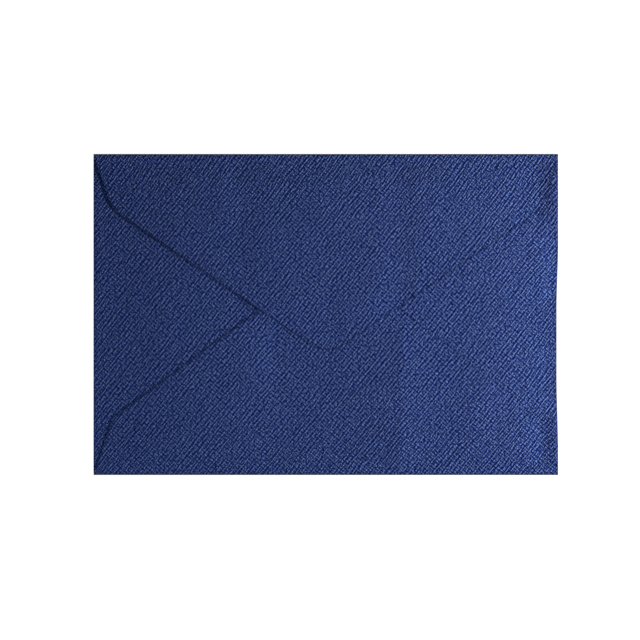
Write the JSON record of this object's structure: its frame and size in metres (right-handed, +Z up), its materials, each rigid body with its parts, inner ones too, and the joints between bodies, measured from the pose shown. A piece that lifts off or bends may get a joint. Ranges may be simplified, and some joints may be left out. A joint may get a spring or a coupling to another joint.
{
  "type": "paper envelope",
  "caption": "Flat rectangular paper envelope folded from one sheet, closed by a pointed top flap that isn't stuck down.",
  "frame": {"origin": "middle of the front panel's underside, on which the envelope lies", "axes": "+X along the long side, +Y toward the fold of the top flap, +Z up, out of the flap side"},
  "size_m": [0.165, 0.114, 0.0019],
  "materials": {
    "paper": "matte"
  },
  "bodies": {
    "root": {"envelope": "paper"}
  },
  "joints": []
}
